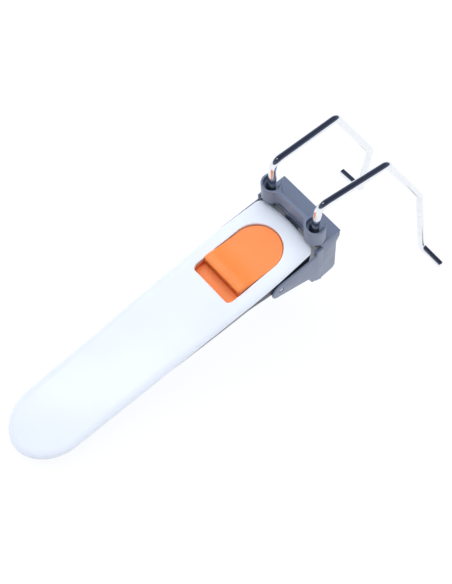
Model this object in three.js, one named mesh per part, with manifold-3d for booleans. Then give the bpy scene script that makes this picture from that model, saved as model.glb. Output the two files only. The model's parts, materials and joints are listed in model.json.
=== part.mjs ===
// Folding grip handle: a two-shell grip with a thumb latch, hinged in a bracket that carries two wire hooks.
//
// Everything is drawn in the grip's own frame, in millimetres: x across the grip, y along it towards the
// hooks, z up from the flat top face, and y = 0 at the rear edge of the thumb opening. The last lines tilt
// the whole object to the pose it rests in and put the origin under the middle of its box.
import * as THREE from "three";
import { mergeVertices } from "three/addons/utils/BufferGeometryUtils.js";
import Module from "manifold-3d";

const wasm = await Module();
wasm.setup();

// ---------------------------------------------------------------- driving dimensions
const GAP = 0.3; // clearance kept between neighbouring pieces
const WALL = 2.0; // moulded wall thickness

const GRIP = {
  endHalfWidth: 18.0, // where the rounded free end starts
  endLength: 21.6, // length of the rounded free end
  endY: -95,
  headHalfWidth: 20.4, // widest, just behind the pivot
  headStartY: 20,
  frontHalfWidth: 19.2,
  frontY: 50.7,
  frontBow: 1.1, // how far the front edge falls back at its corners
  cornerRadius: 4.5,
  partingZ: -3, // the cover and the lower shell meet here
  toeDepth: 9.7, // depth of the lower shell at the free end
  headDepth: 16, // and at the head
};
const OPENING = { halfWidth: 13, length: 42, rearRadius: 2.2 };
const PIVOT = { y: 26.0, z: -9.8, pinRadius: 1.25, bushRadius: 3.0, hubRadius: 5.2 };
const EAR = { inner: 20.5, outer: 21.25, radius: 5.6 };
const BLOCK = { halfWidth: 19.9, rearY: 52.4, faceY: 63, frontY: 65, topZ: -2.5, bottomZ: -40 };
const BOSS = { x: 15.1, y: 52.8, radius: 5.3, hole: 3.0, funnel: 4.3, slot: 2.3, baseZ: 2.6, topZ: 14.6 };
const WIRE = { radius: 2, x: 15.1, y: 53.4, footY: 60.5, footZ: -4.5 };
const TRAVEL = 5.5; // stroke of the thumb slide
const SLIDE_Z = -2.6; // top of the slide's flange, under the cover's roof
const FLANGE = 13.6; // half width of the flange
const WELL = { rearY: -3, wallY: 6.9, frontY: 9, floorTop: -5.1, floorZ: -6.8 }; // pocket behind the ridge
const TAB = { rearY: -4.4, frontY: -2.9, bottomZ: -10.3, halfWidth: 4.5 }; // the return spring pushes on it
const BOLT = { halfWidth: 7, tongueHalf: 4.5, y0: 14, shoulderY: 44.5, tipY: 52.6, z0: -6.8, z1: -4.9 };
const SPRING = { y0: -30.7, y1: -5.1, z: -7, coil: 2.2, wire: 0.4, turns: 9 };

const COLOURS = {
  white: { color: 0xf1f3f6, roughness: 0.15, metalness: 0 },
  orange: { color: 0xff6a22, roughness: 0.4, metalness: 0 },
  grey: { color: 0x7f8896, roughness: 0.5, metalness: 0 },
  nylon: { color: 0xd8d8d2, roughness: 0.5, metalness: 0 },
  chrome: { color: 0xd9dbde, roughness: 0.08, metalness: 1 },
  steel: { color: 0xa8abb0, roughness: 0.35, metalness: 1 },
};

// ---------------------------------------------------------------- solids
function solid(geometry) {
  const bare = geometry.clone();
  bare.deleteAttribute("normal");
  bare.deleteAttribute("uv");
  const merged = mergeVertices(bare, 1e-4);
  return new wasm.Manifold(
    new wasm.Mesh({
      numProp: 3,
      vertProperties: merged.attributes.position.array,
      triVerts: new Uint32Array(merged.index.array),
    }),
  );
}

function geometryOf(manifold) {
  const mesh = manifold.getMesh();
  const geometry = new THREE.BufferGeometry();
  geometry.setAttribute("position", new THREE.BufferAttribute(new Float32Array(mesh.vertProperties), 3));
  geometry.setIndex(new THREE.BufferAttribute(new Uint32Array(mesh.triVerts), 1));
  geometry.computeVertexNormals();
  return geometry;
}

const joined = (...pieces) => pieces.reduce((a, b) => a.add(b));
const cut = (piece, ...tools) => tools.reduce((a, b) => a.subtract(b), piece);

function box(x0, x1, y0, y1, z0, z1) {
  const geometry = new THREE.BoxGeometry(x1 - x0, y1 - y0, z1 - z0);
  return solid(geometry.translate((x0 + x1) / 2, (y0 + y1) / 2, (z0 + z1) / 2));
}

// The same box on both sides of the middle plane.
const boxPair = (x0, x1, ...rest) => joined(box(x0, x1, ...rest), box(-x1, -x0, ...rest));

function uprightCylinder(x, y, z0, z1, radius, sides = 24) {
  const geometry = new THREE.CylinderGeometry(radius, radius, z1 - z0, sides);
  return solid(geometry.rotateX(Math.PI / 2).translate(x, y, (z0 + z1) / 2));
}

function crossCylinder(x0, x1, y, z, radius, sides = 24) {
  const geometry = new THREE.CylinderGeometry(radius, radius, x1 - x0, sides);
  return solid(geometry.rotateZ(Math.PI / 2).translate((x0 + x1) / 2, y, z));
}

function lengthwiseCylinder(x, y0, y1, z, radius, sides = 20) {
  const geometry = new THREE.CylinderGeometry(radius, radius, y1 - y0, sides);
  return solid(geometry.translate(x, (y0 + y1) / 2, z));
}

// A side view, points [y, z], swept across the object from x0 to x1.
function sideProfile(points, x0, x1) {
  const shape = new THREE.Shape(points.map(([y, z]) => new THREE.Vector2(y, z)));
  const geometry = new THREE.ExtrudeGeometry(shape, { depth: x1 - x0, bevelEnabled: false });
  const axes = new THREE.Matrix4().makeBasis(
    new THREE.Vector3(0, 1, 0),
    new THREE.Vector3(0, 0, 1),
    new THREE.Vector3(1, 0, 0),
  );
  return solid(geometry.applyMatrix4(axes).translate(x0, 0, 0));
}

function planShape(shape, z0, z1, curveSegments = 10) {
  const options = { depth: z1 - z0, bevelEnabled: false, curveSegments };
  return solid(new THREE.ExtrudeGeometry(shape, options).translate(0, 0, z0));
}

// Skins a stack of rings, lowest first. A ring is the right half of a mirrored outline, from the middle
// plane at the free end round to the middle plane at the head, so the end faces are ladders of flat rungs.
function mirroredLoft(rings) {
  const last = rings[0].length - 1;
  const mirror = (p) => new THREE.Vector3(-p.x, p.y, p.z);
  const loops = rings.map((half) => [...half, ...half.slice(1, last).reverse().map(mirror)]);
  const count = loops[0].length;
  const positions = loops.flat().flatMap((p) => [p.x, p.y, p.z]);
  const index = [];
  for (let ring = 0; ring < loops.length - 1; ring++) {
    for (let i = 0; i < count; i++) {
      const a = ring * count + i;
      const b = ring * count + ((i + 1) % count);
      index.push(a, b, b + count, a, b + count, a + count);
    }
  }
  const ladder = (start, up) => {
    const face = (a, b, c) => index.push(...(up ? [a, b, c] : [a, c, b]).map((i) => start + i));
    const left = (i) => count - i;
    face(0, 1, left(1));
    for (let i = 1; i < last - 1; i++) {
      face(i, i + 1, left(i + 1));
      face(i, left(i + 1), left(i));
    }
    face(last - 1, last, left(last - 1));
  };
  ladder(0, false);
  ladder((loops.length - 1) * count, true);
  const geometry = new THREE.BufferGeometry();
  geometry.setAttribute("position", new THREE.Float32BufferAttribute(positions, 3));
  geometry.setIndex(index);
  return solid(geometry);
}

// A rod or tube bent along a list of points, with one ring of the section at every point.
class PointPath extends THREE.Curve {
  constructor(points) {
    super();
    this.points = points;
  }
  getPointAt(u) {
    const place = u * (this.points.length - 1);
    const i = Math.min(Math.floor(place), this.points.length - 2);
    return this.points[i].clone().lerp(this.points[i + 1], place - i);
  }
  getPoint(t) {
    return this.getPointAt(t);
  }
  getTangentAt(u) {
    const i = Math.round(u * (this.points.length - 1));
    const before = this.points[Math.max(i - 1, 0)];
    const after = this.points[Math.min(i + 1, this.points.length - 1)];
    return after.clone().sub(before).normalize();
  }
}

function rod(points, radius, sides) {
  const section = new THREE.Shape();
  for (let i = 0; i < sides; i++) {
    const angle = (2 * Math.PI * i) / sides;
    const put = i ? "lineTo" : "moveTo";
    section[put](radius * Math.cos(angle), radius * Math.sin(angle));
  }
  const options = { steps: points.length - 1, extrudePath: new PointPath(points), bevelEnabled: false };
  return solid(new THREE.ExtrudeGeometry(section, options));
}

// Rounds each inner corner of a bent line with an arc of its own radius.
function roundedCorners(corners, radii, steps = 5) {
  const points = [corners[0]];
  for (let i = 1; i < corners.length - 1; i++) {
    const back = corners[i - 1].clone().sub(corners[i]).normalize();
    const ahead = corners[i + 1].clone().sub(corners[i]).normalize();
    const half = back.angleTo(ahead) / 2;
    const reach = radii[i - 1] / Math.tan(half);
    const middle = back.clone().add(ahead).normalize().multiplyScalar(radii[i - 1] / Math.sin(half));
    const centre = corners[i].clone().add(middle);
    const start = back.multiplyScalar(reach).add(corners[i]).sub(centre);
    const end = ahead.multiplyScalar(reach).add(corners[i]).sub(centre);
    const swing = start.angleTo(end);
    const axis = start.clone().cross(end).normalize();
    for (let step = 0; step <= steps; step++) {
      points.push(start.clone().applyAxisAngle(axis, (swing * step) / steps).add(centre));
    }
  }
  points.push(corners.at(-1));
  return points;
}

// ---------------------------------------------------------------- grip outline
// Right half of the grip seen from above, drawn in by an inset.
function gripOutline(inset) {
  const points = [];
  const endHalf = GRIP.endHalfWidth - inset;
  const endLength = GRIP.endLength - inset;
  for (let i = 0; i <= 9; i++) {
    const angle = -Math.PI / 2 + (Math.PI / 2) * (i / 9);
    points.push([endHalf * Math.cos(angle), GRIP.endY + endLength * Math.sin(angle)]);
  }
  const headHalf = GRIP.headHalfWidth - inset;
  for (const t of [0.25, 0.5, 0.75, 1]) {
    const y = GRIP.endY + (GRIP.headStartY - GRIP.endY) * t;
    points.push([endHalf + (headHalf - endHalf) * t, y]);
  }
  const frontHalf = GRIP.frontHalfWidth - inset;
  const corner = Math.max(GRIP.cornerRadius - inset, 0.8);
  const front = GRIP.frontY - inset;
  for (let i = 0; i <= 4; i++) {
    const angle = (Math.PI / 2) * (i / 4);
    const x = frontHalf - corner + corner * Math.cos(angle);
    points.push([x, front - GRIP.frontBow - corner + corner * Math.sin(angle)]);
  }
  const edge = frontHalf - corner;
  for (const t of [0.75, 0.5, 0.25, 0]) {
    points.push([edge * t, front - GRIP.frontBow * t * t]);
  }
  points[0][0] = 0;
  return points;
}

// A loft of inset outlines; each level is [inset, z] where z may depend on y.
function gripLoft(levels) {
  return mirroredLoft(
    levels.map(([inset, z]) =>
      gripOutline(inset).map(([x, y]) => new THREE.Vector3(x, y, typeof z === "number" ? z : z(y))),
    ),
  );
}

function lowerDepth(y) {
  const t = THREE.MathUtils.smoothstep(y, -75, 5);
  return THREE.MathUtils.lerp(GRIP.toeDepth, GRIP.headDepth, t);
}
const lowerTop = GRIP.partingZ - GAP;
const lowerLevel = (share, lift) => (y) => lowerTop - share * lowerDepth(y) + lift;

const upperOuter = gripLoft([
  [0.0, GRIP.partingZ],
  [0.0, -2.2],
  [0.5, -1.1],
  [1.3, -0.45],
  [2.4, -0.1],
  [3.8, 0],
]);
const upperCavity = gripLoft([
  [WALL, GRIP.partingZ - 1],
  [WALL, -2.6],
  [WALL + 1.4, -WALL - 0.2],
]);
const lowerOuter = gripLoft([
  [9.0, lowerLevel(1, 0)],
  [5.4, lowerLevel(0.86, 0)],
  [3.0, lowerLevel(0.6, 0)],
  [1.7, lowerLevel(0.32, 0)],
  [1.2, lowerTop],
]);
const lowerCavity = gripLoft([
  [10.4, lowerLevel(1, WALL)],
  [6.6, lowerLevel(0.8, WALL)],
  [4.4, lowerLevel(0.5, WALL)],
  [3.2, lowerLevel(0.2, 0)],
  [2.8, lowerTop + 1],
]);

function openingShape(inset) {
  const half = OPENING.halfWidth - inset;
  const radius = OPENING.rearRadius;
  const archY = OPENING.length - OPENING.halfWidth;
  const shape = new THREE.Shape();
  shape.moveTo(-half + radius, inset);
  shape.lineTo(half - radius, inset);
  shape.absarc(half - radius, inset + radius, radius, -Math.PI / 2, 0);
  shape.lineTo(half, archY);
  shape.absarc(0, archY, half, 0, Math.PI);
  shape.lineTo(-half, inset + radius);
  shape.absarc(-half + radius, inset + radius, radius, Math.PI, 1.5 * Math.PI);
  return shape;
}

// ---------------------------------------------------------------- grip
const SHELL_SCREWS = [
  { name: "shell_screw_rear", x: 0, y: -98 },
  { name: "shell_screw_middle", x: 0, y: -52 },
  { name: "shell_screw_front_left", x: -9.5, y: -20 },
  { name: "shell_screw_front_right", x: 9.5, y: -20 },
];
const SCREW_SEAT_Z = -10.9;
const RAIL = { x0: 11.8, x1: 15.9, y0: 10, y1: 37, z0: -6.0, z1: -4.7, screwX: 15.0 };
const RAIL_SCREWS = [
  { name: "rail_screw_rear", y: 13.5 },
  { name: "rail_screw_front", y: 33 },
];
const bushHole = crossCylinder(-25, 25, PIVOT.y, PIVOT.z, PIVOT.bushRadius + GAP);
const hubs = joined(
  crossCylinder(15.2, 20.2, PIVOT.y, PIVOT.z, PIVOT.hubRadius),
  crossCylinder(-20.2, -15.2, PIVOT.y, PIVOT.z, PIVOT.hubRadius),
);

function handleTopShell() {
  const screwPosts = SHELL_SCREWS.map((s) => uprightCylinder(s.x, s.y, -9.3, -1.5, 2.7));
  const screwHoles = SHELL_SCREWS.map((s) => uprightCylinder(s.x, s.y, -10, -4.2, 1.4, 12));
  const railPosts = [];
  const railHoles = [];
  for (const side of [-1, 1]) {
    for (const { y } of RAIL_SCREWS) {
      const [inner, outer] = [RAIL.screwX - 1.1, RAIL.screwX + 1.3];
      const [x0, x1] = side > 0 ? [inner, outer] : [-outer, -inner];
      railPosts.push(box(x0, x1, y - 1.5, y + 1.5, RAIL.z1 + GAP, -1.5));
      railHoles.push(uprightCylinder(side * RAIL.screwX, y, -6, -2.4, 0.8, 10));
    }
  }
  return cut(
    joined(upperOuter.subtract(upperCavity), ...screwPosts, ...railPosts),
    planShape(openingShape(0), -6, 2),
    ...screwHoles,
    ...railHoles,
  );
}

function handleBottomShell() {
  const towers = SHELL_SCREWS.map((s) => uprightCylinder(s.x, s.y, -22, -9.6, 4.2));
  const wells = SHELL_SCREWS.flatMap((s) => [
    uprightCylinder(s.x, s.y, -22, SCREW_SEAT_Z + GAP, 3.1),
    uprightCylinder(s.x, s.y, -14, -9, 1.4, 12),
  ]);
  const springSeat = box(-5, 5, -36.6, -31.4, -18, -4.4);
  return cut(
    joined(lowerOuter.subtract(lowerCavity), joined(...towers, springSeat).intersect(lowerOuter), hubs),
    bushHole,
    box(-5.2, 5.2, 44, 52, BOLT.z0 - GAP, BOLT.z1 + GAP),
    lengthwiseCylinder(0, -35.3, -32.6, SPRING.z, 3.2),
    box(-3.2, 3.2, -35.3, -32.6, SPRING.z, -4),
    box(-1.5, 1.5, -34, -31, SPRING.z - 1.5, -4),
    ...wells,
  );
}

function pivotBush(side) {
  const [x0, x1] = side > 0 ? [15.5, 20.3] : [-20.3, -15.5];
  const outer = crossCylinder(x0, x1, PIVOT.y, PIVOT.z, PIVOT.bushRadius);
  return outer.subtract(crossCylinder(x0 - 1, x1 + 1, PIVOT.y, PIVOT.z, PIVOT.pinRadius + GAP, 16));
}

function pivotPin(side) {
  const [x0, x1] = side > 0 ? [15.2, EAR.outer - 0.1] : [0.1 - EAR.outer, -15.2];
  return crossCylinder(x0, x1, PIVOT.y, PIVOT.z, PIVOT.pinRadius, 16);
}

function slideRail(side) {
  const [x0, x1] = side > 0 ? [RAIL.x0, RAIL.x1] : [-RAIL.x1, -RAIL.x0];
  const holes = RAIL_SCREWS.map(({ y }) => uprightCylinder(side * RAIL.screwX, y, -7, -4, 0.8, 10));
  const hubRoom = crossCylinder(-21, 21, PIVOT.y, PIVOT.z, PIVOT.hubRadius + GAP);
  const outside = side > 0 ? box(14.9, 21, 15, 35, -15, 0) : box(-21, -14.9, 15, 35, -15, 0);
  return cut(box(x0, x1, RAIL.y0, RAIL.y1, RAIL.z0, RAIL.z1), hubRoom.intersect(outside), ...holes);
}

// A pan-head screw seen with its head down: the head's bearing face is at seatZ.
function screw(x, y, seatZ, tipZ, headRadius, headHeight, shankRadius) {
  const head = uprightCylinder(x, y, seatZ - headHeight, seatZ, headRadius, 18);
  const shank = uprightCylinder(x, y, seatZ - 0.5, tipZ, shankRadius, 12);
  const driver = [0, Math.PI / 2].map((turn) => {
    const bar = new THREE.BoxGeometry(headRadius * 1.2, headRadius * 0.3, 0.8);
    return solid(bar.rotateZ(turn).translate(x, y, seatZ - headHeight));
  });
  return cut(joined(head, shank), ...driver);
}

function springGuidePin() {
  const head = lengthwiseCylinder(0, -34.9, -33, SPRING.z, 2.8);
  const tip = TAB.rearY - TRAVEL - GAP; // the tab stops here at the end of the stroke
  return head.add(lengthwiseCylinder(0, -34, tip, SPRING.z, 1.1, 12));
}

function returnSpring() {
  const perTurn = 10;
  const points = [];
  for (let i = 0; i <= SPRING.turns * perTurn; i++) {
    const angle = (2 * Math.PI * i) / perTurn;
    const y = THREE.MathUtils.lerp(SPRING.y0, SPRING.y1, i / (SPRING.turns * perTurn));
    points.push(
      new THREE.Vector3(SPRING.coil * Math.sin(angle), y, SPRING.z + SPRING.coil * Math.cos(angle)),
    );
  }
  return rod(points, SPRING.wire, 6);
}

// ---------------------------------------------------------------- latch
const BOLT_SCREWS = [
  { name: "bolt_screw_rear", y: 19 },
  { name: "bolt_screw_front", y: 36 },
];

function thumbSlider() {
  // Dish, ridge and drop wall, from the arch end back to the wall.
  const top = [
    [42, -1.2],
    [36, -1.5],
    [28, -1.4],
    [21, -0.9],
    [16.5, 0.2],
    [13.6, 1.7],
    [12, 2.6],
    [10.8, 2.95],
    [8.6, 3.0],
    [7.4, 2.7],
    [WELL.wallY, 2.0],
  ];
  const thumb = sideProfile([...top, [WELL.wallY, -3.4], [42, -3.4]], -13, 13);
  const flangeFront = 45 - 6;
  const flange = new THREE.Shape();
  flange.moveTo(-FLANGE, 8);
  flange.lineTo(FLANGE, 8);
  flange.lineTo(FLANGE, flangeFront);
  flange.absarc(FLANGE - 6, flangeFront, 6, 0, Math.PI / 2);
  flange.absarc(6 - FLANGE, flangeFront, 6, Math.PI / 2, Math.PI);
  const pressed = thumb.intersect(planShape(openingShape(0.4), -4, 5));
  const holes = BOLT_SCREWS.map(({ y }) => uprightCylinder(0, y, -5, -3.1, 1.2, 12));
  return cut(
    joined(
      pressed,
      planShape(flange, -4.4, SLIDE_Z, 6),
      box(-12.6, 12.6, WELL.wallY, WELL.frontY, WELL.floorZ, 0),
      box(-FLANGE, FLANGE, WELL.rearY, WELL.frontY, WELL.floorZ, WELL.floorTop),
      boxPair(12.7, FLANGE, WELL.rearY, WELL.frontY, WELL.floorZ, SLIDE_Z),
      box(-TAB.halfWidth, TAB.halfWidth, TAB.rearY, TAB.frontY, TAB.bottomZ, -4.4),
    ),
    ...holes,
  );
}

function latchBolt() {
  const plate = box(-BOLT.halfWidth, BOLT.halfWidth, BOLT.y0, BOLT.shoulderY, BOLT.z0, BOLT.z1);
  const half = BOLT.tongueHalf;
  const tongue = new THREE.Shape([
    new THREE.Vector2(-half, BOLT.shoulderY - 1),
    new THREE.Vector2(half, BOLT.shoulderY - 1),
    new THREE.Vector2(half, BOLT.tipY - 0.8),
    new THREE.Vector2(half - 0.8, BOLT.tipY),
    new THREE.Vector2(-half + 0.8, BOLT.tipY),
    new THREE.Vector2(-half, BOLT.tipY - 0.8),
  ]);
  const holes = BOLT_SCREWS.map(({ y }) => uprightCylinder(0, y, -8, -4, 1.2, 12));
  return cut(joined(plate, planShape(tongue, BOLT.z0, BOLT.z1)), ...holes);
}

// ---------------------------------------------------------------- bracket
const CAP_SCREW = { x: 9, y: 58.9 };

function earOutline() {
  const points = [];
  for (let i = 0; i <= 10; i++) {
    const angle = Math.PI / 2 + (Math.PI * 0.93 * i) / 10;
    points.push([PIVOT.y + EAR.radius * Math.cos(angle), PIVOT.z + EAR.radius * Math.sin(angle)]);
  }
  return [...points, [43.6, -24.7], [46.1, -31.6], [52, -36.4], [52, PIVOT.z + EAR.radius]];
}

function bracketBody() {
  const { halfWidth, rearY, frontY, topZ, bottomZ } = BLOCK;
  const block = sideProfile(
    [
      [rearY, topZ],
      [frontY, topZ],
      [frontY, -6.4],
      [BLOCK.faceY, -10.5],
      [BLOCK.faceY, -37],
      [61.4, -39.3],
      [54, bottomZ],
      [rearY + 0.6, -38.6],
    ],
    -halfWidth,
    halfWidth,
  );
  const ears = joined(
    sideProfile(earOutline(), EAR.inner, EAR.outer),
    sideProfile(earOutline(), -EAR.outer, -EAR.inner),
  );
  return cut(
    joined(
      block,
      ears,
      boxPair(19, 21.35, 48.9, 53, -34.4, topZ),
      boxPair(halfWidth + GAP, 21.35, 48.9, 53, topZ - 1, -1.4),
    ),
    box(-17.4, 17.4, 54.9, 61.3, bottomZ - 1, -12),
    boxPair(WIRE.x - 2.3, WIRE.x + 2.3, 51, WIRE.footY + GAP, -6.8, topZ + 1),
    box(-5.5, 5.5, 50, 53.5, bottomZ - 1, -4.2),
    box(-5.2, 5.2, 50, 56.5, -7.4, -4.2),
    uprightCylinder(CAP_SCREW.x, CAP_SCREW.y, -7.9, 0, 2.7),
    uprightCylinder(-CAP_SCREW.x, CAP_SCREW.y, -7.9, 0, 2.7),
    uprightCylinder(CAP_SCREW.x, CAP_SCREW.y, -13, -7, 1.3, 12),
    uprightCylinder(-CAP_SCREW.x, CAP_SCREW.y, -13, -7, 1.3, 12),
    crossCylinder(-25, 25, PIVOT.y, PIVOT.z, PIVOT.pinRadius + GAP, 16),
  );
}

function bracketCap() {
  const plateZ = BLOCK.topZ + GAP;
  const plate = sideProfile(
    [
      [BLOCK.rearY, plateZ],
      [65.2, plateZ],
      [65.2, -0.8],
      [BLOCK.rearY, -0.2],
    ],
    -BLOCK.halfWidth,
    BLOCK.halfWidth,
  );
  const web = sideProfile(
    [
      [53.0, -1],
      [54.4, -1],
      [53.0, BOSS.topZ],
      [51.3, BOSS.topZ],
      [52.35, BOSS.baseZ],
      [53.0, BOSS.baseZ],
    ],
    -13,
    13,
  );
  const side = (sign) => {
    const x = sign * BOSS.x;
    const overBlock = box(x - 4.5, x + 4.5, BLOCK.rearY, 60, plateZ, 3);
    return {
      boss: joined(
        uprightCylinder(x, BOSS.y, BOSS.baseZ, BOSS.topZ, BOSS.radius, 32),
        uprightCylinder(x, BOSS.y, -1, BOSS.baseZ + 0.4, BOSS.radius - 0.6, 32).intersect(overBlock),
        uprightCylinder(sign * CAP_SCREW.x, CAP_SCREW.y, -7.5, plateZ + 0.5, 2.4, 20),
      ),
      hollow: joined(
        uprightCylinder(x, BOSS.y, 4, BOSS.topZ + 1, BOSS.hole),
        uprightCylinder(x, BOSS.y, BOSS.topZ - 2.2, BOSS.topZ + 1, BOSS.funnel),
        box(x - BOSS.slot, x + BOSS.slot, BOSS.y, 60, 4, BOSS.topZ + 1),
        uprightCylinder(sign * WIRE.x, WIRE.y, -4, 5, WIRE.radius + GAP, 20),
        uprightCylinder(sign * CAP_SCREW.x, CAP_SCREW.y, -9, -3, 1.3, 12),
      ),
    };
  };
  const [left, right] = [side(-1), side(1)];
  return cut(joined(plate, web, left.boss, right.boss), left.hollow, right.hollow);
}

function wireArm(side) {
  const at = (x, y, z) => new THREE.Vector3(side * x, y, z);
  const corners = [
    at(WIRE.x, WIRE.footY, WIRE.footZ),
    at(WIRE.x, WIRE.y, WIRE.footZ),
    at(WIRE.x, WIRE.y - 0.3, 13.0),
    at(15.5, 54.2, 31.0),
    at(17.2, 96.1, 21.6),
    at(18.4, 124.8, -45.4),
    at(24.6, 127.6, -101.2),
    at(40.2, 127.6, -102.3),
  ];
  return rod(roundedCorners(corners, [2.6, 20, 4.2, 5, 6, 4]), WIRE.radius, 14);
}

// ---------------------------------------------------------------- scene graph
function mesh(name, piece, look) {
  const made = new THREE.Mesh(geometryOf(piece), new THREE.MeshStandardMaterial(COLOURS[look]));
  made.name = name;
  return made;
}

const SIDES = [
  { word: "left", sign: -1 },
  { word: "right", sign: 1 },
];

const grip = new THREE.Group();
grip.add(
  mesh("handle_top_shell", handleTopShell(), "white"),
  mesh("handle_bottom_shell", handleBottomShell(), "grey"),
  mesh("spring_guide_pin", springGuidePin(), "steel"),
  mesh("return_spring", returnSpring(), "steel"),
);
for (const { name, x, y } of SHELL_SCREWS) {
  grip.add(mesh(name, screw(x, y, SCREW_SEAT_Z, -4.6, 2.7, 1.6, 1.1), "steel"));
}
for (const { word, sign } of SIDES) {
  grip.add(
    mesh("pivot_bush_" + word, pivotBush(sign), "nylon"),
    mesh("pivot_pin_" + word, pivotPin(sign), "steel"),
    mesh("slide_rail_" + word, slideRail(sign), "nylon"),
  );
  for (const { name, y } of RAIL_SCREWS) {
    const made = screw(sign * RAIL.screwX, y, RAIL.z0 - GAP, -2.8, 1.0, 0.8, 0.5);
    grip.add(mesh(name + "_" + word, made, "steel"));
  }
}

const latch = new THREE.Group();
latch.add(mesh("thumb_slider", thumbSlider(), "orange"), mesh("latch_bolt", latchBolt(), "steel"));
for (const { name, y } of BOLT_SCREWS) {
  latch.add(mesh(name, screw(0, y, BOLT.z0 - GAP, -3.4, 2.2, 1.4, 0.9), "steel"));
}

const bracket = new THREE.Group();
bracket.add(mesh("bracket_body", bracketBody(), "grey"), mesh("bracket_cap", bracketCap(), "grey"));
for (const { word, sign } of SIDES) {
  bracket.add(
    mesh("wire_arm_" + word, wireArm(sign), "chrome"),
    mesh("cap_screw_" + word, screw(sign * CAP_SCREW.x, CAP_SCREW.y, -12.3, -3.5, 2.1, 1.5, 1.0), "steel"),
  );
}

const object = new THREE.Group();
object.add(grip, latch, bracket);

// Lowest point of a group once it is tilted about x.
function lowest(group, tilt) {
  group.rotation.x = tilt;
  group.updateMatrixWorld(true);
  return new THREE.Box3().setFromObject(group, true).min.z;
}

// The object rests on the free end of the grip and on the two hook pins. The tilt that levels them is
// found by halving: a larger tilt lifts the hooks and lowers the free end.
function restingTilt() {
  const wires = bracket.children.find((child) => child.name === "wire_arm_right");
  const shell = grip.children.find((child) => child.name === "handle_bottom_shell");
  let [low, high] = [0, Math.PI / 4];
  for (let i = 0; i < 40; i++) {
    const middle = (low + high) / 2;
    if (lowest(wires, middle) < lowest(shell, middle)) low = middle;
    else high = middle;
  }
  wires.rotation.x = 0;
  shell.rotation.x = 0;
  return low;
}

const part = new THREE.Group();
object.rotation.x = restingTilt();
part.add(object);
part.updateMatrixWorld(true);
const bounds = new THREE.Box3().setFromObject(part, true);
object.position.set(0, -(bounds.min.y + bounds.max.y) / 2, -bounds.min.z);

export default part;
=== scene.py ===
"""Looks for a folding grip handle: a white grip with an orange thumb slide, a grey bracket and two chrome wires.

Every shape is worked out in the grip's own frame, in millimetres: x across the grip, y along it towards the
hooks, z up from its flat top, y = 0 at the rear edge of the thumb opening. TO_ROW takes that frame to the
row frame, in metres.
"""
import json
import math
import bmesh
import bpy
import numpy as np
from mathutils import Matrix, Vector


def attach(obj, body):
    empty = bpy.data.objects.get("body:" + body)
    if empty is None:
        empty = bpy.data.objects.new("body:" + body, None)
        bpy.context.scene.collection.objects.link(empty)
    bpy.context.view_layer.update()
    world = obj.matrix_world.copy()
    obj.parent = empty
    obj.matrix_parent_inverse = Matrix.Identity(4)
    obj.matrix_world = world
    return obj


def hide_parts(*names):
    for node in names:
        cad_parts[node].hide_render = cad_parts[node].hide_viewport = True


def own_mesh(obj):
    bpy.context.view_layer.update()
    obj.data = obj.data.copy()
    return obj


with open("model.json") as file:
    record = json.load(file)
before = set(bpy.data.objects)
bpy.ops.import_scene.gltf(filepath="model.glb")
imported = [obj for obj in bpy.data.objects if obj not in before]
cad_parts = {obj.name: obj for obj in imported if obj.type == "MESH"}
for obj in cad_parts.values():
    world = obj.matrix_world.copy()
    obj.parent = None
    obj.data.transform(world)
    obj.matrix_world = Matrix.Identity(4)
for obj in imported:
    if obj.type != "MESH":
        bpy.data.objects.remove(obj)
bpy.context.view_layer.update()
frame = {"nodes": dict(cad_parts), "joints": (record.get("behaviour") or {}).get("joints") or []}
SCENE = bpy.context.scene
NODES = frame["nodes"]

# ---------------------------------------------------------------- frame of the grip
PIVOT = Vector((0, 26.0, -9.8))
JOINTS = {j["name"]: j for j in frame["joints"]}
MM = 0.001
AXIS_X = Vector((1, 0, 0))
AXIS_Y = -Vector(JOINTS["latch_slide"]["axis"]).normalized()
AXIS_Z = AXIS_X.cross(AXIS_Y)
TURN = Matrix((AXIS_X, AXIS_Y, AXIS_Z)).transposed().to_4x4()
ORIGIN = Vector(JOINTS["grip_fold"]["pos_m"]) - TURN @ (PIVOT * MM)
TO_ROW = Matrix.Translation(ORIGIN) @ TURN @ Matrix.Scale(MM, 4)

# ---------------------------------------------------------------- dimensions, in millimetres
GAP = 0.3
END_HALF, END_LENGTH, END_Y = 18.0, 21.6, -95.0
HEAD_HALF, HEAD_Y, FRONT_HALF = 20.4, 20.0, 19.2
FRONT_Y, FRONT_BOW, CORNER = 50.7, 1.1, 4.5
PARTING_Z = -3.0
LOWER_TOP = PARTING_Z - GAP
TOE_DEPTH, HEAD_DEPTH, WALL = 9.7, 16.0, 2.0
OPEN_HALF, OPEN_LENGTH, OPEN_CORNER = 13.0, 42.0, 2.2
SLIDE_Z, FLANGE = -2.6, 13.6
WELL_REAR, WELL_WALL, WELL_FRONT, WELL_TOP, WELL_BOTTOM = -3.0, 6.9, 9.0, -5.1, -6.8
HUB, BUSH, PIN = 5.2, 3.0, 1.25
EAR_IN, EAR_OUT, EAR_R = 20.5, 21.25, 5.6
BLOCK_HALF, BLOCK_REAR, BLOCK_FACE, BLOCK_FRONT, BLOCK_TOP, BLOCK_BOTTOM = 19.9, 52.4, 63.0, 65.0, -2.5, -40.0
BOSS_X, BOSS_Y, BOSS_R, BORE_R, BOSS_BASE, BOSS_TOP = 15.1, 52.8, 5.3, 3.0, 2.6, 14.6
FUNNEL_R, SLOT_HALF = 4.3, 2.3
WIRE_R, WIRE_X, WIRE_Y, FOOT_Y = 2.0, 15.1, 53.4, 60.5
SHELL_SCREWS = {"rear": (0, -98), "middle": (0, -52), "front_left": (-9.5, -20), "front_right": (9.5, -20)}
SEAT_Z, SCREW_HOLE = -10.9, 1.4
RAIL_SCREW_X, RAIL_SCREW_Y = 15.0, (13.5, 33.0)
TONGUE_SLOT = 5.2
CAP_SCREW = (9.0, 58.9)
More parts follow.
